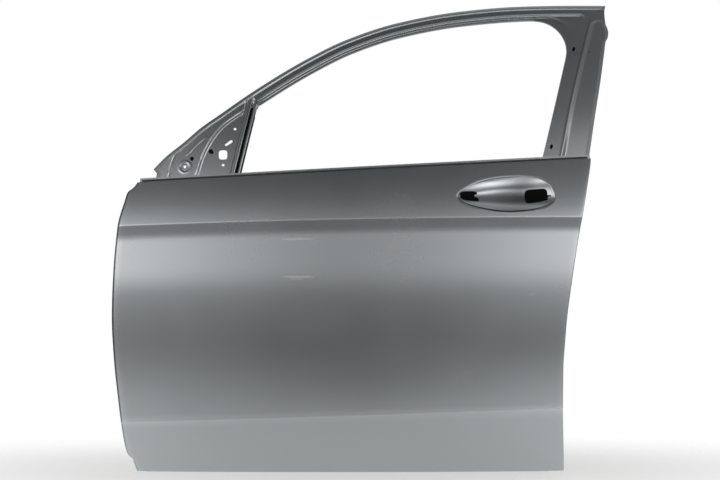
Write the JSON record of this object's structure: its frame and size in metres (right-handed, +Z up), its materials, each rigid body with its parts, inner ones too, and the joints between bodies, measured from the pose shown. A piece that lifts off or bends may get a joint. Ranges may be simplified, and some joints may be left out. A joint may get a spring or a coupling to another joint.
{
  "type": "car door shell",
  "caption": "Front left car door shell of painted sheet metal with window frame, handle recess, inner panel, hinge and latch reinforcements, glass guides and impact beam.",
  "frame": {"origin": "middle of the upper hinge face, on the front wall of the inner panel", "axes": "+X to the rear of the car, +Y into the cabin, +Z up; the outer skin faces -Y"},
  "size_m": [1.2238, 0.2789, 1.1572],
  "materials": {
    "silver_paint": "silver-grey metallic paint under clear coat",
    "shaded_paint": "satin grey paint on the inner sheets",
    "beam_steel": "grey primer on a drawn steel tube",
    "nut_steel": "bare zinc-plated steel"
  },
  "bodies": {
    "root": {"beam_bracket_front": "shaded_paint", "beam_bracket_rear": "shaded_paint", "belt_rail_inner": "shaded_paint", "belt_rail_outer": "silver_paint", "check_strap_reinforcement": "shaded_paint", "front_glass_guide": "shaded_paint", "hinge_nut_lower_1": "nut_steel", "hinge_nut_lower_2": "nut_steel", "hinge_nut_upper_1": "nut_steel", "hinge_nut_upper_2": "nut_steel", "hinge_reinforcement_lower": "shaded_paint", "hinge_reinforcement_upper": "shaded_paint", "inner_panel": "shaded_paint", "latch_reinforcement": "shaded_paint", "mirror_reinforcement": "shaded_paint", "outer_skin": "silver_paint", "rear_glass_guide": "shaded_paint", "side_impact_beam": "beam_steel", "skin_brace": "shaded_paint", "window_frame_inner": "shaded_paint", "window_frame_outer": "silver_paint"}
  },
  "joints": []
}
